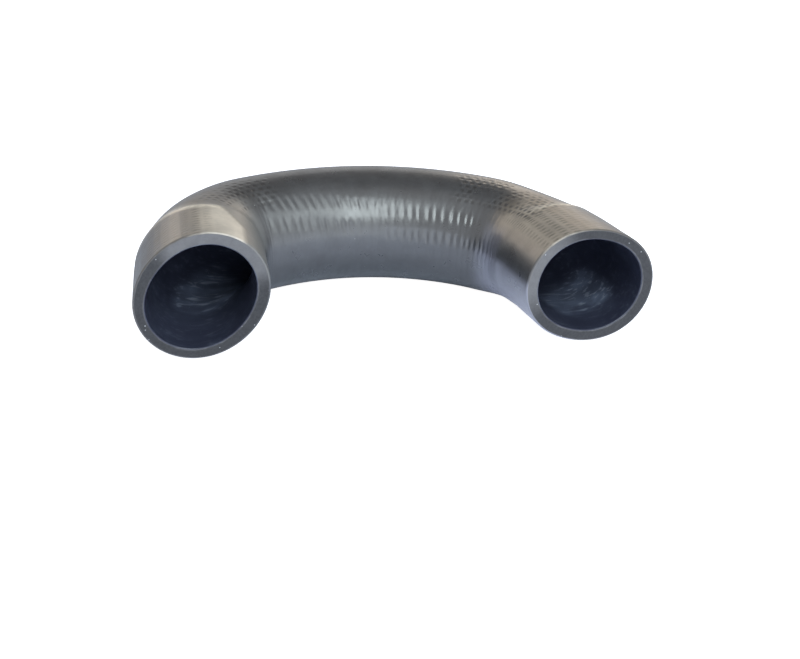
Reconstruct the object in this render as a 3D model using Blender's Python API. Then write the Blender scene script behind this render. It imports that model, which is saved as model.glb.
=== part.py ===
"""Charge air hose: one moulded rubber hose of two cuffs, two bends and a bowed span between them.

It lies flat, as it comes to rest. +Z is up, the left cuff runs along +Y from its mouth, and the
right cuff lies to the +X side. Lengths are in metres and angles in degrees.
"""
from math import atan2, ceil, cos, pi, radians, sin

import bmesh
import bpy
from mathutils import Quaternion, Vector
from mathutils.bvhtree import BVHTree

# Section
CUFF_BORE = 0.054              # inside diameter of both cuffs
BODY_BORE = 0.050              # inside diameter between the cuffs
WALL = 0.0065                  # fabric-reinforced rubber wall
RIM_CHAMFER = 0.0006           # broken edges of both mouths

# Route along the centre line, from the left mouth to the right mouth
LEFT_STRAIGHT_LENGTH = 0.0295
LEFT_BEND_RADIUS = 0.042
LEFT_BEND_ANGLE = 72.0
LEFT_LINK_LENGTH = 0.005       # straight between the left bend and the span
SPAN_RADIUS = 0.150
SPAN_ANGLE = 45.5
SPAN_LIFT = -5.0               # tip of the span's bow, upwards from the plane before it
RIGHT_BEND_RADIUS = 0.072
RIGHT_BEND_ANGLE = 54.0
RIGHT_BEND_LIFT = 4.5
RIGHT_STRAIGHT_LENGTH = 0.026

# Cuffs, measured along the centre line from each mouth: they reach a little way into the bends
LEFT_CUFF_LENGTH = 0.0345
RIGHT_CUFF_LENGTH = 0.0385
CREST_STEP = 0.0007            # of radius, at the end of a cuff
CREST_LENGTH = 0.003           # over which it steps down
TAPER_LENGTH = 0.032           # past a cuff, over which it narrows the rest of the way to the body

# How far the mouths are out of round, and how far their long axis is turned about the cuff
LEFT_OVALITY = 0.06
LEFT_OVAL_TURN = 50.0
RIGHT_OVALITY = 0.10
RIGHT_OVAL_TURN = 15.0
OVAL_FADE_LENGTH = 0.046       # past a cuff, over which the section turns round

# Facets
SIDES = 48
BODY_PITCH = 0.0075
CREST_PITCH = 0.0015

RUBBER_COLOUR = (0.055, 0.055, 0.060, 1.0)
RUBBER_ROUGHNESS = 0.48

# Laying down: the most faces tried, and the turn in radians below which it has settled
SETTLE_TRIES = 20
SETTLE_TURN = 1e-6

DOWN = Vector((0.0, 0.0, -1.0))


def clear_scene():
    for old in list(bpy.data.objects):
        bpy.data.objects.remove(old, do_unlink=True)


def make_rubber():
    rubber = bpy.data.materials.new("charcoal_rubber")
    rubber.use_nodes = True
    shader = rubber.node_tree.nodes["Principled BSDF"]
    shader.inputs["Base Color"].default_value = RUBBER_COLOUR
    shader.inputs["Roughness"].default_value = RUBBER_ROUGHNESS
    shader.inputs["Metallic"].default_value = 0.0
    return rubber


# A run of the route is its length and a function that carries a pose along it.
# A pose is the place on the centre line, the heading, and the direction across to the right.

def straight_run(length):
    def carry(place, heading, across, distance):
        return place + heading * distance, heading, across
    return length, carry


def bent_run(radius, angle, lift=0.0):
    """A bend to the right, in a plane that the lift tips upwards."""
    def carry(place, heading, across, distance):
        to_centre = Quaternion(heading, -radians(lift)) @ across
        spin = Quaternion(heading.cross(to_centre), distance / radius)
        centre = place + to_centre * radius
        return centre + spin @ (place - centre), spin @ heading, spin @ across
    return radius * radians(angle), carry


ROUTE = (
    straight_run(LEFT_STRAIGHT_LENGTH),
    bent_run(LEFT_BEND_RADIUS, LEFT_BEND_ANGLE),
    straight_run(LEFT_LINK_LENGTH),
    bent_run(SPAN_RADIUS, SPAN_ANGLE, SPAN_LIFT),
    bent_run(RIGHT_BEND_RADIUS, RIGHT_BEND_ANGLE, RIGHT_BEND_LIFT),
    straight_run(RIGHT_STRAIGHT_LENGTH),
)
HOSE_LENGTH = sum(length for length, carry in ROUTE)


def pose_at(distance):
    """The pose at a distance along the centre line from the left mouth."""
    pose = (Vector((0.0, 0.0, 0.0)), Vector((0.0, 1.0, 0.0)), Vector((1.0, 0.0, 0.0)))
    for length, carry in ROUTE:
        step = min(length, distance)
        pose = carry(*pose, step)
        distance -= step
    return pose


def ease(share):
    """0 to 1 with a level start and end."""
    share = min(max(share, 0.0), 1.0)
    return share * share * (3.0 - 2.0 * share)


def cuff_share(distance, fade):
    """1 on each cuff, easing to 0 over the fade past it: the left cuff's share and the right cuff's."""
    past_left = distance - LEFT_CUFF_LENGTH
    past_right = HOSE_LENGTH - distance - RIGHT_CUFF_LENGTH
    return 1.0 - ease(past_left / fade), 1.0 - ease(past_right / fade)


def section_radii(distance):
    """Outer and inner radius of the wall: a small step at the end of each cuff, then a long taper."""
    step = CREST_STEP * max(cuff_share(distance, CREST_LENGTH))
    taper = ((CUFF_BORE - BODY_BORE) / 2.0 - CREST_STEP) * max(cuff_share(distance, TAPER_LENGTH))
    inner = BODY_BORE / 2.0 + step + taper
    outer = inner + WALL
    chamfer = max(RIM_CHAMFER - min(distance, HOSE_LENGTH - distance), 0.0)
    return outer - chamfer, inner + chamfer


def oval_stretch(distance, angle):
    left, right = cuff_share(distance, OVAL_FADE_LENGTH)
    stretch = left * LEFT_OVALITY * cos(2.0 * (angle - radians(LEFT_OVAL_TURN)))
    stretch += right * RIGHT_OVALITY * cos(2.0 * (angle - radians(RIGHT_OVAL_TURN)))
    return 1.0 + stretch


def station_distances():
    """Distances of the section rings: closer together on the step at the end of each cuff."""
    crests = (
        (LEFT_CUFF_LENGTH, LEFT_CUFF_LENGTH + CREST_LENGTH),
        (HOSE_LENGTH - RIGHT_CUFF_LENGTH - CREST_LENGTH, HOSE_LENGTH - RIGHT_CUFF_LENGTH),
    )
    breaks = {0.0, RIM_CHAMFER, HOSE_LENGTH - RIM_CHAMFER, HOSE_LENGTH}
    for start, end in crests:
        breaks.update((start, end))
    breaks = sorted(breaks)
    distances = [0.0]
    for start, end in zip(breaks, breaks[1:]):
        pitch = CREST_PITCH if (start, end) in crests else BODY_PITCH
        spans = ceil((end - start) / pitch)
        distances += [start + (end - start) * (k + 1) / spans for k in range(spans)]
    return distances


def add_ring(mesh, distance, radius):
    place, heading, across = pose_at(distance)
    up = across.cross(heading)
    ring = []
    for k in range(SIDES):
        angle = 2.0 * pi * k / SIDES
        reach = radius * oval_stretch(distance, angle)
        ring.append(mesh.verts.new(place + (across * cos(angle) + up * sin(angle)) * reach))
    return ring


def join_rings(mesh, first, second):
    for k in range(SIDES):
        after = (k + 1) % SIDES
        mesh.faces.new((first[k], first[after], second[after], second[k]))


def make_hose(rubber):
    """The outer skin's rings one way and the bore's rings back, joined into one closed wall."""
    mesh = bmesh.new()
    distances = station_distances()
    outer = [add_ring(mesh, distance, section_radii(distance)[0]) for distance in distances]
    bore = [add_ring(mesh, distance, section_radii(distance)[1]) for distance in reversed(distances)]
    rings = outer + bore
    for first, second in zip(rings, rings[1:] + rings[:1]):
        join_rings(mesh, first, second)
    bmesh.ops.recalc_face_normals(mesh, faces=mesh.faces)
    data = bpy.data.meshes.new("charge_air_hose")
    mesh.to_mesh(data)
    mesh.free()
    data.materials.append(rubber)
    data.shade_smooth()
    data.set_sharp_from_angle(angle=radians(35.0))
    hose = bpy.data.objects.new("charge_air_hose", data)
    bpy.context.scene.collection.objects.link(hose)
    return hose


def resting_turn(points, centre):
    """The turn that lays the points' hull on the face that carries the centre of mass.

    Each face met below the centre is nearer to it than the last, so the search settles.
    """
    hull = bmesh.new()
    for point in points:
        hull.verts.new(point)
    found = bmesh.ops.convex_hull(hull, input=hull.verts)
    inside = [item for item in found["geom_interior"] if isinstance(item, bmesh.types.BMVert)]
    bmesh.ops.delete(hull, geom=inside, context="VERTS")
    faces = BVHTree.FromBMesh(hull)
    hull.free()
    way = DOWN
    for attempt in range(SETTLE_TRIES):
        normal = faces.ray_cast(centre, way)[1]
        if normal.dot(way) < 0.0:
            normal = -normal
        if normal.angle(way) < SETTLE_TURN:
            break
        way = normal
    return way.rotation_difference(DOWN)


def lay_down(hose):
    """Rests the hose on z = 0, left cuff along +Y, with its box centred on the origin."""
    points = [vertex.co for vertex in hose.data.vertices]
    distances = [HOSE_LENGTH * (k + 0.5) / SIDES for k in range(SIDES)]
    centre = sum((pose_at(distance)[0] for distance in distances), Vector()) / SIDES
    turn = resting_turn(points, centre)
    heading = turn @ pose_at(0.0)[1]
    turn = Quaternion((0.0, 0.0, 1.0), atan2(heading.x, heading.y)) @ turn
    laid = [turn @ point for point in points]
    low = Vector([min(point[axis] for point in laid) for axis in range(3)])
    high = Vector([max(point[axis] for point in laid) for axis in range(3)])
    hose.rotation_mode = "QUATERNION"
    hose.rotation_quaternion = turn
    hose.location = (-(low.x + high.x) / 2.0, -(low.y + high.y) / 2.0, -low.z)


clear_scene()
lay_down(make_hose(make_rubber()))
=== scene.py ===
from math import cos, pi, radians, sin

import bpy
import numpy as np
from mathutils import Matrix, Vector


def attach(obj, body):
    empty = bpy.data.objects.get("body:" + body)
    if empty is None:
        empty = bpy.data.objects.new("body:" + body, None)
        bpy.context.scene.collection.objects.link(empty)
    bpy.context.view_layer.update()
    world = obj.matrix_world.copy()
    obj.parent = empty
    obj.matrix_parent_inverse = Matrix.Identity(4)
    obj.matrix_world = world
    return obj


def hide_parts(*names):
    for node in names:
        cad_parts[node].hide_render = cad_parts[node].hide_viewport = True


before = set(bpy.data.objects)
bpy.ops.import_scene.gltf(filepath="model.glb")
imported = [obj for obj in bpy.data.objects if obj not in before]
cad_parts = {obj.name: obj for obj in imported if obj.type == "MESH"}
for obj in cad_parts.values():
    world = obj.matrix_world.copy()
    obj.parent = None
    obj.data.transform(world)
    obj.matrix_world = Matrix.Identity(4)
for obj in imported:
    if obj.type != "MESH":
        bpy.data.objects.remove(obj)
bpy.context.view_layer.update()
print("frame loaded")


def eased(share):
    # 3 x squared minus 2 x cubed, so that it starts and ends level
    share = np.clip(share, 0.0, 1.0)
    return share * share * (3.0 - 2.0 * share)


def fading(value, start, spread):
    # 1 up to the start, easing to 0 over the spread past it
    return 1.0 - eased((value - start) / spread)


def windowed(value, low, high, soft, highSoft=None):
    # 1 between low and high, easing to 0 over the soft width outside them, which can differ past high
    return eased((value - low) / soft + 1.0) * eased((high - value) / (highSoft or soft) + 1.0)


def between(ends, share):
    # the first end at 0 and the second at 1
    return ends[0] + (ends[1] - ends[0]) * share


def turned(vectors, axis, angles):
    # Rodrigues: v cos a + (k x v) sin a + k (k . v) (1 - cos a)
    angles = np.reshape(angles, (-1, 1))
    along = axis * np.sum(vectors * axis, axis=-1, keepdims=True)
    aside = np.cross(axis, vectors)
    return vectors * np.cos(angles) + aside * np.sin(angles) + along * (1.0 - np.cos(angles))


# lengths are in metres, and an oval is its size and the angle of its long axis
hose = {
    "cuffBore": 0.054, "bodyBore": 0.050, "wall": 0.0065,
    "inset": 0.0001,                       # keeps the skin's relief within the solid's box
    "outerRim": 0.0009, "innerRim": 0.0006, "rimRows": 3, "cutRows": 9,
    "reliefFade": 0.004,                   # from a mouth to the full relief
    "leftCuff": 0.0345, "rightCuff": 0.0385,
    "crestStep": 0.0007, "crestLength": 0.003, "taper": 0.032,
    "crestSoft": 0.022, "crestSoftAt": (-50.0, 40.0, 40.0),       # the step is softer on the inner side
    "leftOval": (0.06, 50.0), "rightOval": (0.10, 15.0), "ovalFade": 0.046,
    "leftBoreShift": (-0.0005, -0.0004),   # across and up at the mouth, gone at the cuff's end
    "rightBoreShift": (0.0003, 0.0004),
    "leftBoreOval": 0.021,                 # added to the left oval at the mouth
    "leftMouth": (-0.0971015, -0.0431250, 0.0365747),
    "across": (0.9997651, 0.0015633, 0.0216186),
    "heading": (0.0, 0.9973955, -0.0721273),
    "sides": 128, "skinPitch": 0.00055, "borePitch": 0.0023,
}

# each run: a straight length, or the radius, angle and lift of a bend to the right
route = [
    {"length": 0.0295},
    {"radius": 0.042, "angle": 72.0, "lift": 0.0},
    {"length": 0.005},
    {"radius": 0.150, "angle": 45.5, "lift": -5.0},
    {"radius": 0.072, "angle": 54.0, "lift": 4.5},
    {"length": 0.026},
]

# the zone of a row is also the number of its material
skinZone, cutZone, boreZone = range(3)


def runLength(run):
    return run["length"] if "length" in run else run["radius"] * radians(run["angle"])


hoseLength = sum(runLength(run) for run in route)


def followRoute(distance):
    # place = p + h d on a straight run, and p turned about the centre by d over the radius on a bend
    place = np.zeros((len(distance), 3)) + hose["leftMouth"]
    heading = np.zeros_like(place) + hose["heading"]
    across = np.zeros_like(place) + hose["across"]
    left = distance.copy()
    for run in route:
        step = np.clip(left, 0.0, runLength(run))
        if "length" in run:
            place = place + heading * step[:, None]
        else:
            toCentre = turned(across, heading, np.full(len(step), -radians(run["lift"])))
            axle = np.cross(heading, toCentre)
            centre = place + toCentre * run["radius"]
            angle = step / run["radius"]
            place = centre + turned(place - centre, axle, angle)
            heading, across = turned(heading, axle, angle), turned(across, axle, angle)
        left = left - step
    return place, heading, across


def cuffShare(distance, fade):
    # 1 on each cuff, easing to 0 over the fade past it
    left = fading(distance, hose["leftCuff"], fade)
    right = fading(hoseLength - distance, hose["rightCuff"], fade)
    return left, right


def stacked(*columns):
    # one row per value, where a single number stands in every row
    return np.stack(np.broadcast_arrays(*columns), 1)


def mouthRows():
    # from the skin over the rounded rim, across the cut end and round the inner rim
    outer, inner = hose["outerRim"], hose["innerRim"]
    arc = np.linspace(0.0, pi / 2.0, hose["rimRows"] + 2)[1:-1]
    cut = np.linspace(1.0, 0.0, hose["cutRows"])
    outside = stacked(outer * (1.0 - np.sin(arc)), 1.0, outer * (1.0 - np.cos(arc)), skinZone)
    across = stacked(0.0, cut, outer * cut - inner * (1.0 - cut), cutZone)
    inside = stacked(inner * (1.0 - np.sin(arc)), 0.0, inner * (np.cos(arc) - 1.0), boreZone)
    return np.concatenate([outside, across, inside[::-1]])


def profileLoop():
    # the wall's closed outline: skin to the right, right mouth, bore back to the left, left mouth
    # columns: distance along, share of the wall (bore 0, skin 1), inset of the radius, zone
    outer, inner = hose["outerRim"], hose["innerRim"]
    skinSteps = round((hoseLength - 2.0 * outer) / hose["skinPitch"])
    boreSteps = round((hoseLength - 2.0 * inner) / hose["borePitch"])
    skin = np.linspace(outer, hoseLength - outer, skinSteps + 1)
    bore = np.linspace(hoseLength - inner, inner, boreSteps + 1)
    rightMouth, leftMouth = mouthRows(), mouthRows()[::-1]
    rightMouth[:, 0] = hoseLength - rightMouth[:, 0]
    skinRows, boreRows = stacked(skin, 1.0, 0.0, skinZone), stacked(bore, 0.0, 0.0, boreZone)
    return np.concatenate([skinRows, rightMouth, boreRows, leftMouth])


# The cloth that the hose was wrapped in left rows of ridges along its inner side, and a lip at each cuff.
# Distances are from the left mouth, and angles go from the inner side of the bends (0) over the top (90).
wrap = {
    "pitch": 0.0053, "fade": 0.007,
    "crown": 1.35,                         # above 1, the middle of a row is level
    "markSwell": (0.78, 0.22, 2.4),        # middle and swing of the marks' depth, and radians per mark
    "rings": 0.00010, "ringsAt": (-35.0, 50.0, 18.0), "ringsAlong": (0.075, 0.235, 0.02),
    "ringMark": 0.1685, "ringSteep": 0.4,
    "ringWander": (0.0004, 0.0131, 1.7),   # size, length and start of the wave
    "ringSwell": (0.7, 0.3, 0.017),        # middle, swing and length of the wave
    "lip": 0.00028, "lipMouthSide": 0.0014, "lipBodySide": 0.0046,
    "leftLipAt": (76.0, 190.0, 14.0), "rightLipAt": (84.0, 150.0, 34.0),
    "lipTurn": (50.0, 22.0, 0.0155),       # the left lip runs towards its mouth below this angle and spread
    "lipDip": (84.0, 22.0, 0.0016),        # and already a little before that
    "lipWobble": ((0.0005, 5.0, 0.0), (0.0003, 11.0, 1.0)),       # size, waves round the hose, start
    "lipSwell": (0.15, 7.0, 0.5),
    "rows": [
        {"from": 0.082, "to": 0.150, "angle": (52.6, 38.0), "halfWidth": (9.5, 10.0), "steep": 0.36,
         "relief": (0.00050, 0.00034), "firstMark": 0.0917, "lean": 0.0078},
        {"from": 0.153, "to": 0.218, "angle": (34.0, 33.0), "halfWidth": (9.8, 7.4), "steep": 0.58,
         "relief": (0.00018, 0.00050), "firstMark": 0.1683, "lean": 0.0035},
        {"from": 0.084, "to": 0.138, "angle": (30.0, 18.0), "halfWidth": (9.5, 10.0), "steep": 0.45,
         "relief": (0.00028, 0.00050), "firstMark": 0.0822, "lean": 0.0060},
        {"from": 0.160, "to": 0.250, "angle": (11.0, 10.0), "halfWidth": (8.4, 6.4), "steep": 0.50,
         "relief": (0.00034, 0.00046), "firstMark": 0.1687, "lean": 0.0030},
    ],
}


def rippled(along, steep):
    # rises over the steep share of each pitch and falls over the rest
    phase = along / wrap["pitch"] % 1.0
    return np.where(phase < steep, eased(phase / steep), 1.0 - eased((phase - steep) / (1.0 - steep)))


def ringDepth(distance, turn):
    # faint rings between the rows: a window round the hose times one along it, a slow swell and the ripples
    size, length, start = wrap["ringWander"]
    wander = size * np.sin(distance / length + start)
    middle, swing, length = wrap["ringSwell"]
    rings = windowed(turn, *wrap["ringsAt"]) * windowed(distance, *wrap["ringsAlong"])
    rings = rings * (middle + swing * np.sin(distance / length))
    return wrap["rings"] * rings * (1.0 - rippled(distance - wrap["ringMark"] + wander, wrap["ringSteep"]))


def wrapRelief(distance, turn):
    # depth = ripples along each row times nearness to the row's middle, or the rings away from the rows
    depth = ringDepth(distance, turn)
    middle, swing, step = wrap["markSwell"]
    for row in wrap["rows"]:
        share = np.clip((distance - row["from"]) / (row["to"] - row["from"]), 0.0, 1.0)
        off = turn - between(row["angle"], share)
        along = distance - row["firstMark"] + row["lean"] * np.radians(off)
        each = middle + swing * np.sin(step * np.floor(along / wrap["pitch"]))
        near = eased(wrap["crown"] * (1.0 - np.abs(off) / between(row["halfWidth"], share)))
        near = near * each * windowed(distance, row["from"], row["to"], wrap["fade"])
        marks = between(row["relief"], share) * (1.0 - rippled(along, row["steep"]))
        depth = np.maximum(depth * (1.0 - near), near * marks)
    return depth


def leftLipDistance(turn):
    # at the cuff's end over the top, and nearer to the mouth towards the inner side
    place = hose["leftCuff"]
    for start, spread, reach in (wrap["lipTurn"], wrap["lipDip"]):
        place = place - reach * fading(turn, start, spread)
    return place


def bell(past):
    # e to the minus square of the distance past the lip over its width, which is less on the mouth's side
    return np.exp(-(past / np.where(past > 0.0, wrap["lipBodySide"], wrap["lipMouthSide"])) ** 2)


def waved(turn, size, waves, start):
    # size times the sine of the angle times the number of waves
    return size * np.sin(np.radians(turn) * waves + start)


def lipHeight(distance, turn):
    # a bell over the end of each cuff, uneven along its way round
    wobble = sum(waved(turn, *wave) for wave in wrap["lipWobble"])
    uneven = 1.0 - wrap["lipSwell"][0] + waved(turn, *wrap["lipSwell"])
    left = bell(distance - leftLipDistance(turn) + wobble) * uneven * windowed(turn, *wrap["leftLipAt"])
    right = bell(hoseLength - distance - hose["rightCuff"] + wobble) * uneven
    return left, right * windowed(turn, *wrap["rightLipAt"])


# A stain, or a painted highlight or reflection, has a window round the hose: low and high angle, and how
# softly both ends or each end fades.
# Along the hose it has another window, or it reaches to a length and then fades over a second one.
stainsAndSheens = {
    # the films are beige dust on the cuff tops, and partly painted warm light there
    "leftFilm": {"turn": (60.0, 196.0, 20.0), "parts": ((0.85, 0.045), (0.15, 0.070)), "spread": 0.024},
    "rightFilm": {"turn": (44.0, 196.0, 22.0), "ends": (0.051, 0.024)},
    "filmFall": (78.0, 30.0, 0.76),        # past this angle, over this spread, both films lose this share
    "pastLip": {"turn": (76.0, 18.0), "spread": 0.005, "loss": 0.55},             # up to 76, fading over 18
    # painted highlights on the inner top of each cuff, where it reflects the bright room
    "leftPaintedHighlight": {"turn": (53.0, 72.0, 4.0, 30.0), "ends": (-0.002, 0.004)},      # from the lip
    "rightPaintedHighlight": {"turn": (46.0, 66.0, 14.0), "ends": (0.050, 0.012), "share": 0.28},
    "grey": {"turn": (16.0, 60.0, 14.0), "ends": (0.058, 0.018)},
    # a painted bluish floor reflection on the underside near the right cuff, and painted light beside it where
    # it lies in shade
    "paintedFloorSheen": {"turn": (-70.0, 4.0, 9.0), "ends": (0.058, 0.026)},
    "paintedSheenBeside": {"turn": (-4.0, 28.0, 12.0), "along": (0.050, 0.064, 0.012), "share": 0.35},
    "dull": {"turn": (24.0, 60.0, 14.0), "along": (0.072, 0.112, 0.028)},
    "leftCloth": {"turn": (54.0, 92.0, 8.0), "along": (0.050, 0.086, 0.012)},
    "rightCloth": {"turn": (54.0, 92.0, 8.0), "along": (0.204, 0.262, 0.012)},
    "leftRipple": {"turn": (100.0, 205.0, 34.0), "ends": (0.036, 0.010)},
    "rightRipple": {"turn": (50.0, 205.0, 24.0), "ends": (0.048, 0.012)},
    # painted reflections in the lower side of each bore
    "leftBoreReflection": {"turn": (-118.0, -66.0, 22.0), "along": (0.044, 0.062, 0.016)},
    "rightBoreReflection": {"turn": (-142.0, -92.0, 22.0), "along": (0.024, 0.040, 0.010)},
    "leftPale": (28.0, 112.0, 26.0), "rightPale": (5.0, 42.0, 35.0),
    "rightLip": 0.8,                       # how bright the right lip's dust and painted highlight are against the left
}


def windowedShare(name, turn, along):
    # its share, if it has one, times its window round the hose and its window or end along it
    entry = stainsAndSheens[name]
    reach = windowed(along, *entry["along"]) if "along" in entry else fading(along, *entry["ends"])
    return entry.get("share", 1.0) * (windowed(turn, *entry["turn"]) * reach)


def filmMask(distance, turn, pastLip):
    # the left film fades in two parts, and past the lip it is weaker towards the inner side
    left = 1.0
    for share, start in stainsAndSheens["leftFilm"]["parts"]:
        left = left - share * eased((distance - start) / stainsAndSheens["leftFilm"]["spread"])
    past = eased(pastLip / stainsAndSheens["pastLip"]["spread"]) * fading(turn, *stainsAndSheens["pastLip"]["turn"])
    left = left * windowed(turn, *stainsAndSheens["leftFilm"]["turn"]) * (1.0 - stainsAndSheens["pastLip"]["loss"] * past)
    start, spread, loss = stainsAndSheens["filmFall"]
    lightening = np.maximum(left, windowedShare("rightFilm", turn, hoseLength - distance))
    return lightening * (1.0 - loss * eased((turn - start) / spread))


def stainAndSheenMasks(distance, turn, zone):
    fromRight = hoseLength - distance
    pastLip = distance - leftLipDistance(turn)
    # the cut ends are paler on the side that faces the other leg
    leftPale, rightPale = windowed(turn, *stainsAndSheens["leftPale"]), windowed(turn, *stainsAndSheens["rightPale"])
    pale = np.where(distance < hoseLength / 2.0, leftPale, rightPale)
    # in the bores, painted reflections lie on the lower side a little way in
    below = np.where(turn > 180.0, turn - 360.0, turn)
    paintedReflection = np.maximum(windowedShare("leftBoreReflection", below, distance), windowedShare("rightBoreReflection", below, fromRight))
    # one mask for all zones: dust with painted warm light on the skin, the paler side on the cut ends, painted
    # reflections in the bores
    lightening = filmMask(distance, turn, pastLip)
    lightening = np.where(zone == cutZone, pale, np.where(zone == boreZone, paintedReflection, lightening))
    # painted highlights on the inner tops of both cuffs
    patches = windowedShare("leftPaintedHighlight", turn, pastLip), windowedShare("rightPaintedHighlight", turn, fromRight)
    # a painted bluish floor reflection under the right cuff, and painted light beside it
    floorSheens = windowedShare("paintedFloorSheen", turn, fromRight), windowedShare("paintedSheenBeside", turn, fromRight)
    # the cloth's imprint, which shows as finer ripples on the cuffs
    cloths = windowedShare("leftCloth", turn, distance), windowedShare("rightCloth", turn, distance)
    ripples = windowedShare("leftRipple", turn, distance), windowedShare("rightRipple", turn, fromRight)
    return {
        "lightening": lightening, "paintedHighlight": np.maximum(*patches), "grey": windowedShare("grey", turn, distance),
        "paintedFloorSheen": np.maximum(*floorSheens), "cloth": np.maximum(*cloths), "ripple": np.maximum(*ripples),
        "dull": windowedShare("dull", turn, distance),
    }


def stretched(angle, size, axis):
    # size times the cosine of twice the angle from the long axis
    return size * np.cos(2.0 * (angle - radians(axis)))


def sectionRadius(distance, angle, turn, wallShare, nearLeft, inset):
    # radius = body bore, a small step and a long taper up to each cuff, plus the wall on the skin side
    crestLength = hose["crestLength"] + hose["crestSoft"] * windowed(turn, *hose["crestSoftAt"])
    step = np.maximum(*cuffShare(distance, crestLength)) * hose["crestStep"]
    taper = (hose["cuffBore"] - hose["bodyBore"]) / 2.0 - hose["crestStep"]
    taper = np.maximum(*cuffShare(distance, hose["taper"])) * taper
    radius = hose["bodyBore"] / 2.0 + step + taper + hose["wall"] * wallShare - inset
    # times 1 plus the oval of each cuff and that of the left bore
    leftFar, rightFar = cuffShare(distance, hose["ovalFade"])
    oval = 1.0 + leftFar * stretched(angle, *hose["leftOval"])
    oval = oval + rightFar * stretched(angle, *hose["rightOval"])
    oval = oval + nearLeft * stretched(angle, hose["leftBoreOval"], hose["leftOval"][1])
    return radius * oval


def cornered(values, grid):
    # the four corners of each face, each from one array or number for the whole grid
    return np.stack([np.broadcast_to(value, grid) for value in values], -1)


def wovenMesh(points, loop):
    # rows of the loop closed both ways, with their UV: u runs once round, v along from the left mouth,
    # and on a cut end v is the share across the wall
    rings, sides = grid = points.shape[:2]
    ring, side = np.arange(rings)[:, None], np.arange(sides)[None, :]
    nextRing, nextSide = (ring + 1) % rings, (side + 1) % sides
    first, second = ring * sides, nextRing * sides
    corners = [first + side, second + side, second + nextSide, first + nextSide]
    mesh = bpy.data.meshes.new("hoseSkin")
    mesh.from_pydata(points.reshape(-1, 3).tolist(), [], cornered(corners, grid).reshape(-1, 4).tolist())

    # a rounded rim belongs to the skin or the bore, and the rest of a mouth is the cut end
    here, after = loop[:, 3], np.roll(loop[:, 3], -1)
    rimZone = np.where(np.minimum(here, after) == skinZone, skinZone, boreZone)
    faceZone = np.where(here == after, here, rimZone)[:, None]
    mesh.polygons.foreach_set("material_index", np.broadcast_to(faceZone, grid).astype(np.int32).ravel())
    mesh.polygons.foreach_set("use_smooth", np.ones(rings * sides, bool))

    lengthwise = np.where(loop[:, 3] == cutZone, loop[:, 1], loop[:, 0] / hoseLength)
    u = cornered([side / sides, side / sides, (side + 1) / sides, (side + 1) / sides], grid)
    v = cornered([lengthwise[row] for row in (ring, nextRing, nextRing, ring)], grid)
    layer = mesh.uv_layers.new(name="around")
    layer.data.foreach_set("uv", np.stack([u, v], -1).astype(np.float32).ravel())
    return mesh


def makeHose(materials):
    loop = profileLoop()
    distance, wallShare, inset, zone = (loop[:, k, None] for k in range(4))
    angle = np.linspace(0.0, 2.0 * pi, hose["sides"], endpoint=False)[None, :]
    turn = (np.degrees(angle) + 90.0) % 360.0 - 90.0       # -90 below, 0 inner side, 90 top, 180 outer side

    # the wall is a little uneven at both mouths: the bore is off the skin's centre, and the left one more oval
    fromRight = hoseLength - distance
    nearLeft = (1.0 - wallShare) * fading(distance, 0.0, hose["leftCuff"])
    nearRight = (1.0 - wallShare) * fading(fromRight, 0.0, hose["rightCuff"])
    radius = sectionRadius(distance, angle, turn, wallShare, nearLeft, inset)

    # the lips stand up from the skin and the marks lie in it
    fade = hose["reliefFade"]
    onSkin = (zone == skinZone) * eased(distance / fade) * eased(fromRight / fade)
    leftLip, rightLip = lipHeight(distance, turn)
    relief = wrap["lip"] * (leftLip + rightLip) - wrapRelief(distance, turn)
    radius = radius - hose["inset"] * (zone == skinZone) + relief * onSkin

    place, heading, across = followRoute(distance[:, 0])
    up = np.cross(across, heading)
    spoke = across[:, None, :] * np.cos(angle)[..., None] + up[:, None, :] * np.sin(angle)[..., None]
    shifts = zip(hose["leftBoreShift"], hose["rightBoreShift"])
    aside, lift = (nearLeft * left + nearRight * right for left, right in shifts)
    centre = place + across * aside + up * lift
    points = centre[:, None, :] + spoke * radius[..., None]
    rings, sides = points.shape[:2]
    print("hose grid", rings, "x", sides, "=", 2 * rings * sides, "triangles")

    mesh = wovenMesh(points, loop)
    masks = stainAndSheenMasks(distance, turn, zone)
    # the lip mask also colours each lip: pale dust and a painted highlight along it, a little weaker on the
    # right
    masks["lip"] = leftLip + stainsAndSheens["rightLip"] * rightLip
    for name, values in masks.items():
        values = np.broadcast_to(values, (rings, sides)).astype(np.float32)
        mesh.attributes.new(name, "FLOAT", "POINT").data.foreach_set("value", values.ravel())
    for material in materials:
        mesh.materials.append(material)
    mesh.validate()
    skin = bpy.data.objects.new("hoseSkin", mesh)
    bpy.context.scene.collection.objects.link(skin)
    return skin


def addNode(tree, kind, settings=None, inputs=None):
    node = tree.nodes.new(kind)
    for name, value in (settings or {}).items():
        setattr(node, name, value)
    for name, value in (inputs or {}).items():
        if isinstance(value, bpy.types.NodeSocket):
            tree.links.new(value, node.inputs[name])
        else:
            node.inputs[name].default_value = value
    return node


def maths(tree, operation, *values):
    return addNode(tree, "ShaderNodeMath", {"operation": operation}, dict(enumerate(values))).outputs[0]


def product(tree, first, second):
    return maths(tree, "MULTIPLY", first, second)


def blended(tree, share, first, second):
    inputs = {0: share, 6: first, 7: second}
    return addNode(tree, "ShaderNodeMix", {"data_type": "RGBA"}, inputs).outputs[2]


def ranged(tree, value, low, high, newLow=0.0, newHigh=1.0):
    # a value between low and high becomes one between newLow and newHigh, held at both ends
    inputs = {0: value, 1: low, 2: high, 3: newLow, 4: newHigh}
    return addNode(tree, "ShaderNodeMapRange", {"clamp": True}, inputs).outputs[0]


def varied(tree, mask, noise, least):
    # the mask times a share that the noise moves between the least and 1
    return product(tree, mask, ranged(tree, noise, 0.0, 1.0, least, 1.0))


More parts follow.
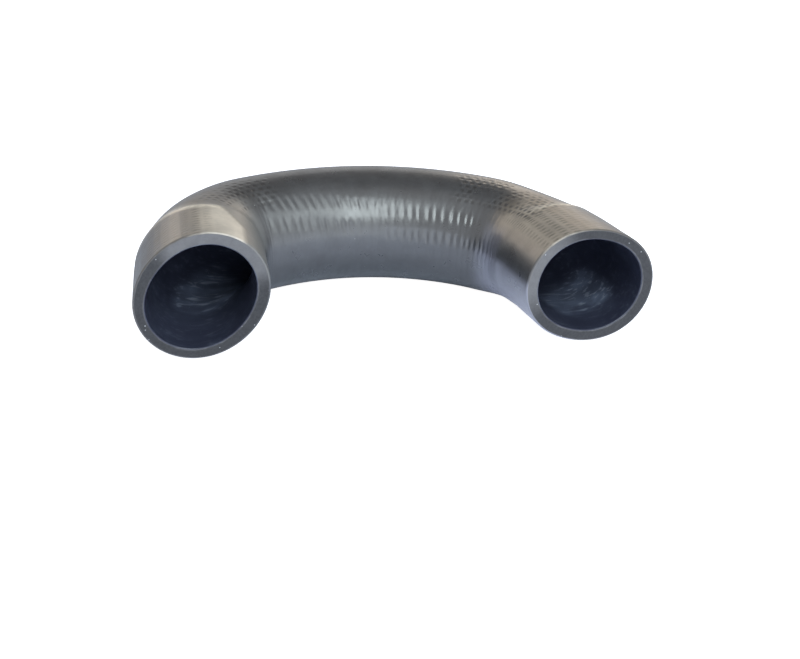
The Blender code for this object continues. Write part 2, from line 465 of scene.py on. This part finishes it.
def noisy(tree, position, scale, detail, roughness=0.6):
    inputs = {"Vector": position, "Scale": scale, "Detail": detail, "Roughness": roughness}
    return addNode(tree, "ShaderNodeTexNoise", {}, inputs).outputs["Fac"]


def cloudy(tree, position, scale, detail=4.0, low=0.35, high=0.65):
    # soft noise stretched to fill 0 to 1
    return ranged(tree, noisy(tree, position, scale, detail), low, high)


def masked(tree, name):
    return addNode(tree, "ShaderNodeAttribute", {"attribute_name": name}).outputs["Fac"]


def placed(tree):
    return addNode(tree, "ShaderNodeTexCoord").outputs["Object"]


def wound(tree):
    # X is around and Y along the hose, from its UV
    uv = addNode(tree, "ShaderNodeUVMap", {"uv_map": "around"}).outputs["UV"]
    return addNode(tree, "ShaderNodeSeparateXYZ", {}, {"Vector": uv}).outputs


def newMaterial(name):
    material = bpy.data.materials.new(name)
    material.use_nodes = True
    tree = material.node_tree
    return material, tree, tree.nodes["Principled BSDF"]


grainLook = {
    "pebbleDetail": 3.0, "slowScale": 0.12, "slowDetail": 4.0, "slowRoughness": 0.55, "slowWeight": 1.5,
    "mottle": (0.32, 0.68), "speckScale": 800.0, "speckEdge": (0.30, 0.14),
}


def rubberGrain():
    # height = fine pebble plus a slower unevenness; mottle = soft patches; speck = rare pale grains of dust
    tree = bpy.data.node_groups.new("rubberGrain", "ShaderNodeTree")
    tree.interface.new_socket("Position", in_out="INPUT", socket_type="NodeSocketVector")
    for name in ("Fineness", "Speck Rarity"):
        tree.interface.new_socket(name, in_out="INPUT", socket_type="NodeSocketFloat")
    for name in ("Height", "Mottle", "Speck"):
        tree.interface.new_socket(name, in_out="OUTPUT", socket_type="NodeSocketFloat")
    given = tree.nodes.new("NodeGroupInput").outputs
    result = tree.nodes.new("NodeGroupOutput").inputs
    position, fineness = given["Position"], given["Fineness"]
    pebble = noisy(tree, position, fineness, grainLook["pebbleDetail"])
    slowScale = product(tree, fineness, grainLook["slowScale"])
    slow = noisy(tree, position, slowScale, grainLook["slowDetail"], grainLook["slowRoughness"])
    cellInputs = {"Vector": position, "Scale": grainLook["speckScale"]}
    cells = addNode(tree, "ShaderNodeTexVoronoi", {}, cellInputs).outputs
    chance = addNode(tree, "ShaderNodeSeparateColor", {}, {"Color": cells["Color"]}).outputs["Red"]
    near = ranged(tree, cells["Distance"], *grainLook["speckEdge"])
    speck = product(tree, near, maths(tree, "GREATER_THAN", chance, given["Speck Rarity"]))
    tree.links.new(maths(tree, "MULTIPLY_ADD", slow, grainLook["slowWeight"], pebble), result["Height"])
    tree.links.new(ranged(tree, slow, *grainLook["mottle"]), result["Mottle"])
    tree.links.new(speck, result["Speck"])
    return tree


def grained(tree, grainGroup, position, fineness, rarity):
    inputs = {"Position": position, "Fineness": fineness, "Speck Rarity": rarity}
    return addNode(tree, "ShaderNodeGroup", {"node_tree": grainGroup}, inputs).outputs


def finished(tree, shader, look, colour, rough, height):
    # colour, roughness between the look's two, and bumps of the look's depth
    tree.links.new(colour, shader.inputs["Base Color"])
    tree.links.new(ranged(tree, rough, 0.0, 1.0, *look["roughness"]), shader.inputs["Roughness"])
    inputs = {"Height": height, "Distance": look["grainDepth"], "Strength": 1.0}
    bump = addNode(tree, "ShaderNodeBump", {}, inputs)
    tree.links.new(bump.outputs["Normal"], shader.inputs["Normal"])


# In every look, grain is its fineness and the rarity of its specks, and a noise is its scale and detail,
# and then the two values that become 0 and 1. "Least" is what the noise leaves of a stain or of painted light.
skinLook = {
    "rubber": (0.044, 0.045, 0.049, 1.0), "dark": (0.030, 0.030, 0.033, 1.0),
    # the beige colour below is dust on the cuff tops and partly painted warm light there
    "lightening": (0.182, 0.146, 0.110, 1.0), "filmLeast": (0.62, 0.75),
    # the bright beige below is a painted highlight
    "paintedHighlight": (0.56, 0.49, 0.41, 1.0), "paintedHighlightLeast": 0.65,
    # the pale colour below is dust and a painted highlight along each lip
    "lip": (0.76, 0.67, 0.56, 1.0), "lipHighlightLeast": 0.6,
    "grey": (0.165, 0.162, 0.158, 1.0), "greyShare": 0.85,
    # the bluish colour below is a painted reflection of the floor
    "paintedFloorSheen": (0.225, 0.225, 0.275, 1.0),
    "speck": (0.5, 0.49, 0.48, 1.0), "speckShare": 0.5,
    "grain": (900.0, 0.9985), "grainDepth": 0.000026,
    "cloud": (95.0, 4.0), "fine": (420.0, 2.0), "patches": (70.0, 2.0, 0.36, 0.50),
    "roughness": (0.27, 0.50), "roughStain": 0.6, "roughCloud": 0.4, "shine": 0.95,
    "dashEnds": (-0.65, 0.45), "dashSides": (0.20, 0.95),         # of the cosine along, and the sine across
    # the dark colour below and the ripple colour after it darken the imprint's dents: painted shade
    "cloth": (0.014, 0.014, 0.015, 1.0), "clothShadeShare": 0.9, "clothDepth": 5.0,
    "clothRows": 58.0, "clothPitch": 0.0046,               # rows of dashes round the hose, each staggered
    "ripple": (0.072, 0.060, 0.047, 1.0), "rippleShadeShare": 0.85, "rippleDepth": 3.0,
    "rippleRows": 38.0, "ripplePitch": 0.0029,
    "ripplePush": 3.0, "rippleRange": (0.1, 0.8, 0.45, 1.0),
    "imprintDepth": 0.8,
}


def dashes(tree, parts, rows, pitch, push):
    # a dash = middle of its row (sine of half a turn per row) times part of its pitch (cosine along it)
    row = product(tree, parts["X"], rows)
    odd = maths(tree, "MODULO", maths(tree, "FLOOR", row), 2.0)
    middle = maths(tree, "SINE", product(tree, maths(tree, "FRACT", row), pi))
    along = maths(tree, "MULTIPLY_ADD", odd, pi, push)
    along = maths(tree, "MULTIPLY_ADD", parts["Y"], 2.0 * pi * hoseLength / pitch, along)
    part = ranged(tree, maths(tree, "COSINE", along), *skinLook["dashEnds"])
    return product(tree, part, ranged(tree, middle, *skinLook["dashSides"]))


def imprints(tree, parts, cloud, fine, patches):
    # dashes times mask times patches on the body; on the cuffs finer ones, which the noise pushes about
    # and breaks up, and the same ones in place, faint and everywhere
    cloth = dashes(tree, parts, skinLook["clothRows"], skinLook["clothPitch"], cloud)
    cloth = product(tree, cloth, product(tree, masked(tree, "cloth"), patches))
    size = skinLook["rippleRows"], skinLook["ripplePitch"]
    push = maths(tree, "ADD", fine, product(tree, cloud, skinLook["ripplePush"]))
    broken = product(tree, masked(tree, "ripple"), ranged(tree, fine, *skinLook["rippleRange"]))
    ripple = product(tree, dashes(tree, parts, *size, push), broken)
    imprint = product(tree, dashes(tree, parts, *size, 0.0), patches)
    return cloth, ripple, imprint


def skinMaterial(grainGroup):
    material, tree, shader = newMaterial("wrappedRubber")
    position = placed(tree)
    grain = grained(tree, grainGroup, position, *skinLook["grain"])
    cloud, fine, patches = (cloudy(tree, position, *skinLook[name]) for name in ("cloud", "fine", "patches"))
    cloth, ripple, imprint = imprints(tree, wound(tree), cloud, fine, patches)
    lightening, grey, paintedHighlight, lip = (masked(tree, name) for name in ("lightening", "grey", "paintedHighlight", "lip"))
    cloudLeast, fineLeast = skinLook["filmLeast"]
    # each lies over the ones before it: grey haze, a painted bluish floor reflection, dust with painted warm
    # light, painted highlights, ripple dashes darkened as painted shade, the lip's dust and painted highlight,
    # cloth dashes darkened as painted shade, and dust specks
    shares = {
        "grey": product(tree, grey, skinLook["greyShare"]),
        "paintedFloorSheen": masked(tree, "paintedFloorSheen"),
        "lightening": varied(tree, varied(tree, lightening, cloud, cloudLeast), fine, fineLeast),
        "paintedHighlight": varied(tree, paintedHighlight, cloud, skinLook["paintedHighlightLeast"]),
        "ripple": product(tree, ripple, skinLook["rippleShadeShare"]),
        "lip": varied(tree, lip, fine, skinLook["lipHighlightLeast"]),
        "cloth": product(tree, cloth, skinLook["clothShadeShare"]),
        "speck": product(tree, grain["Speck"], skinLook["speckShare"]),
    }
    colour = blended(tree, grain["Mottle"], skinLook["rubber"], skinLook["dark"])
    for name, share in shares.items():
        colour = blended(tree, share, colour, skinLook[name])
    # roughness by the strongest of the dust film, grey haze and dull skin, and by the cloud
    rough = maths(tree, "MAXIMUM", maths(tree, "MAXIMUM", lightening, grey), masked(tree, "dull"))
    unevenness = product(tree, cloud, skinLook["roughCloud"])
    rough = maths(tree, "MULTIPLY_ADD", rough, skinLook["roughStain"], unevenness)
    height = grain["Height"]
    for marks, depth in ((cloth, "clothDepth"), (ripple, "rippleDepth"), (imprint, "imprintDepth")):
        height = maths(tree, "MULTIPLY_ADD", marks, -skinLook[depth], height)
    shader.inputs["Specular IOR Level"].default_value = skinLook["shine"]
    finished(tree, shader, skinLook, colour, rough, height)
    return material


cutLook = {
    "rubber": (0.0165, 0.016, 0.0175, 1.0), "pale": (0.155, 0.149, 0.152, 1.0), "paleLeast": 0.75,
    # the rim colour lightens both rims: wear, and a painted highlight where the bevels catch light
    "rimWearAndGlint": (0.14, 0.135, 0.14, 1.0), "edgeRange": (0.2, 0.8, 0.15, 0.9),
    "innerEdge": (0.14, 0.02), "outerEdge": (0.93, 1.0),          # shares of the wall
    "fibre": (0.55, 0.55, 0.56, 1.0), "roughness": (0.45, 0.62),
    "grain": (1200.0, 0.985), "grainDepth": 0.00005,
    "cloud": (120.0, 4.0), "fine": (900.0, 2.0), "fineWeight": 0.10,
}


def cutMaterial(grainGroup):
    material, tree, shader = newMaterial("trimmedEnd")
    position = placed(tree)
    grain = grained(tree, grainGroup, position, *cutLook["grain"])
    wallShare = wound(tree)["Y"]
    cloud, fine = (cloudy(tree, position, *cutLook[name]) for name in ("cloud", "fine"))
    # paler by the mask, then the two lighter rims, worn and with a painted highlight where the bevels catch
    # light, which come and go with the cloud, then the cut fibres
    share = varied(tree, masked(tree, "lightening"), cloud, cutLook["paleLeast"])
    share = maths(tree, "MULTIPLY_ADD", fine, cutLook["fineWeight"], share)
    colour = blended(tree, share, cutLook["rubber"], cutLook["pale"])
    edges = (ranged(tree, wallShare, *cutLook[name]) for name in ("innerEdge", "outerEdge"))
    rimWearAndGlint = product(tree, maths(tree, "MAXIMUM", *edges), ranged(tree, cloud, *cutLook["edgeRange"]))
    colour = blended(tree, rimWearAndGlint, colour, cutLook["rimWearAndGlint"])
    colour = blended(tree, grain["Speck"], colour, cutLook["fibre"])
    finished(tree, shader, cutLook, colour, grain["Mottle"], grain["Height"])
    return material


boreLook = {
    # the lighter colours below are a painted reflection on the bore's lower side and brighter painted glints
    # in it
    "rubber": (0.021, 0.023, 0.042, 1.0), "paintedReflection": (0.150, 0.180, 0.255, 1.0), "reflectionEverywhere": 0.15,
    "reflectionGlint": (0.30, 0.33, 0.40, 1.0), "reflectionGlintShare": 0.6, "roughness": (0.32, 0.50),
    "grain": (700.0, 0.90), "grainDepth": 0.00005, "cloud": (45.0, 4.0, 0.22, 0.60),
    "streaks": (12.0, 120.0, 120.0),       # noise scale along X, Y and Z, so that the streaks run along X
    "streak": (1.0, 3.0, 0.42, 0.66), "streakLeast": 0.45, "thin": (4.0, 2.0, 0.56, 0.66),
}


def boreMaterial(grainGroup):
    material, tree, shader = newMaterial("boreLining")
    position = placed(tree)
    grain = grained(tree, grainGroup, position, *boreLook["grain"])
    mapping = {"Vector": position, "Scale": boreLook["streaks"]}
    drawn = addNode(tree, "ShaderNodeMapping", {}, mapping).outputs["Vector"]
    streak, thin = (cloudy(tree, drawn, *boreLook[name]) for name in ("streak", "thin"))
    # painted reflection = mask times cloud, drawn out in streaks, and over it thin painted glints and specks
    paintedReflection = maths(tree, "MAXIMUM", masked(tree, "lightening"), boreLook["reflectionEverywhere"])
    paintedReflection = product(tree, paintedReflection, cloudy(tree, position, *boreLook["cloud"]))
    share = varied(tree, paintedReflection, streak, boreLook["streakLeast"])
    colour = blended(tree, share, boreLook["rubber"], boreLook["paintedReflection"])
    reflectionGlint = maths(tree, "MAXIMUM", product(tree, thin, paintedReflection), product(tree, grain["Speck"], paintedReflection))
    colour = blended(tree, product(tree, reflectionGlint, boreLook["reflectionGlintShare"]), colour, boreLook["reflectionGlint"])
    finished(tree, shader, boreLook, colour, paintedReflection, grain["Height"])
    return material


grainGroup = rubberGrain()
skin = makeHose([skinMaterial(grainGroup), cutMaterial(grainGroup), boreMaterial(grainGroup)])
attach(skin, "root")
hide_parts("charge_air_hose")
print("hose made")


studio = {
    "floorSize": 8.0, "floorColour": (0.74, 0.78, 0.90, 1.0),
    "floorGlow": (0.95, 0.94, 0.92, 1.0),          # added for the camera, so that the background is white
    "floorGleam": (0.78, 0.84, 1.0, 1.0),          # added for reflections, in a pool before the legs
    "gleamFade": (-0.050, 0.004, 0.95, 0.0),       # its strength between two places along Y
    "ambient": ((0.85, 0.90, 1.0, 1.0), 0.35), "white": ((1.0, 1.0, 1.0, 1.0), 1.0),
    "cardColour": (0.36, 0.32, 0.27, 1.0), "cardRoughness": 0.9,
    "cardSize": (1.5, 1.1), "cardTowards": (0.16, 0.60, 0.78), "cardReach": 1.1,
    "middle": (0.0, 0.0, 0.04),                    # what the lamps and the card face
}

# aim is azimuth from +Y towards +X, then elevation
lamps = {
    "roundSoftbox": {"aim": (165.5, 50.0), "reach": 1.2, "shape": "DISK", "size": (0.90, 0.90),
                     "radiance": 6.2, "colour": (0.87, 0.98, 1.0)},
    "frontPanel": {"aim": (172.0, 9.0), "reach": 1.5, "shape": "RECTANGLE", "size": (2.4, 0.55),
                   "radiance": 2.0, "colour": (0.78, 0.88, 1.0)},
    "warmLeft": {"aim": (-36.0, 22.0), "reach": 1.3, "shape": "RECTANGLE", "size": (0.6, 0.5),
                 "radiance": 2.2, "colour": (1.0, 0.82, 0.62)},
    "warmRight": {"aim": (33.0, 15.0), "reach": 1.3, "shape": "RECTANGLE", "size": (0.6, 0.5),
                  "radiance": 2.0, "colour": (1.0, 0.82, 0.62)},
}


def flatSheet(name, width, height):
    x, y = width / 2.0, height / 2.0
    mesh = bpy.data.meshes.new(name)
    mesh.from_pydata([(-x, -y, 0.0), (x, -y, 0.0), (x, y, 0.0), (-x, y, 0.0)], [], [(0, 1, 2, 3)])
    sheet = bpy.data.objects.new(name, mesh)
    bpy.context.scene.collection.objects.link(sheet)
    return sheet


def makeFloor():
    floor = flatSheet("floor", studio["floorSize"], studio["floorSize"])
    material, tree, shader = newMaterial("palePaper")
    shader.inputs["Base Color"].default_value = studio["floorColour"]
    shader.inputs["Roughness"].default_value = 1.0
    shader.inputs["Specular IOR Level"].default_value = 0.0
    path = tree.nodes.new("ShaderNodeLightPath").outputs
    mirrored = maths(tree, "MAXIMUM", path["Is Glossy Ray"], path["Is Transmission Ray"])
    depth = addNode(tree, "ShaderNodeSeparateXYZ", {}, {"Vector": placed(tree)}).outputs["Y"]
    gleam = ranged(tree, depth, *studio["gleamFade"])
    strength = maths(tree, "MULTIPLY_ADD", mirrored, gleam, path["Is Camera Ray"])
    colour = blended(tree, path["Is Camera Ray"], studio["floorGleam"], studio["floorGlow"])
    tree.links.new(colour, shader.inputs["Emission Color"])
    tree.links.new(strength, shader.inputs["Emission Strength"])
    floor.data.materials.append(material)


def facing(holder, towards, reach):
    # stands at a reach from the hose and looks back at it
    towards = Vector(towards).normalized()
    holder.location = Vector(studio["middle"]) + towards * reach
    holder.rotation_euler = towards.to_track_quat("Z", "Y").to_euler()


def hangCard():
    # a matt card above and behind, which only reflections and soft light meet
    card = flatSheet("card", *studio["cardSize"])
    facing(card, studio["cardTowards"], studio["cardReach"])
    material, tree, shader = newMaterial("greyCard")
    shader.inputs["Base Color"].default_value = studio["cardColour"]
    shader.inputs["Roughness"].default_value = studio["cardRoughness"]
    card.data.materials.append(material)
    card.visible_camera = False


def lightWorld():
    # white where the camera, a reflection or a view through glass meets it, and soft light elsewhere
    world = bpy.data.worlds.new("studio")
    bpy.context.scene.world = world
    world.use_nodes = True
    tree = world.node_tree
    tree.nodes.clear()
    path = tree.nodes.new("ShaderNodeLightPath").outputs
    seen = maths(tree, "MAXIMUM", path["Is Camera Ray"], path["Is Glossy Ray"])
    seen = maths(tree, "MAXIMUM", seen, path["Is Transmission Ray"])
    mix = addNode(tree, "ShaderNodeMixShader", {}, {0: seen})
    for place, name in ((1, "ambient"), (2, "white")):
        colour, strength = studio[name]
        glow = addNode(tree, "ShaderNodeBackground", {}, {"Color": colour, "Strength": strength})
        tree.links.new(glow.outputs[0], mix.inputs[place])
    output = tree.nodes.new("ShaderNodeOutputWorld")
    tree.links.new(mix.outputs[0], output.inputs["Surface"])


def aimed(azimuth, elevation):
    azimuth, elevation = radians(azimuth), radians(elevation)
    return sin(azimuth) * cos(elevation), cos(azimuth) * cos(elevation), sin(elevation)


def addLamp(name, lamp):
    # watts = pi x area x radiance
    light = bpy.data.lights.new(name, "AREA")
    light.shape = lamp["shape"]
    light.size = lamp["size"][0]
    area = pi * light.size ** 2 / 4.0
    if lamp["shape"] == "RECTANGLE":
        light.size_y = lamp["size"][1]
        area = light.size * light.size_y
    light.energy = pi * area * lamp["radiance"]
    light.color = lamp["colour"]
    holder = bpy.data.objects.new(name, light)
    facing(holder, aimed(*lamp["aim"]), lamp["reach"])
    bpy.context.scene.collection.objects.link(holder)


view = {
    "lens": 47.08, "sensor": 36.0, "shift": (0.0096, -0.0842),
    "place": (-0.09970, -0.48039, 0.30419), "turn": (60.350, -2.343, -10.976),
}


def makeCamera():
    data = bpy.data.cameras.new("camera")
    data.lens = view["lens"]
    data.sensor_width = view["sensor"]
    data.sensor_fit = "HORIZONTAL"
    data.shift_x, data.shift_y = view["shift"]
    camera = bpy.data.objects.new("camera", data)
    camera.location = view["place"]
    camera.rotation_euler = [radians(angle) for angle in view["turn"]]
    bpy.context.scene.collection.objects.link(camera)
    bpy.context.scene.camera = camera


makeFloor()
hangCard()
lightWorld()
for name, lamp in lamps.items():
    addLamp(name, lamp)
makeCamera()
bpy.context.scene.view_settings.view_transform = "Standard"
print("studio ready")
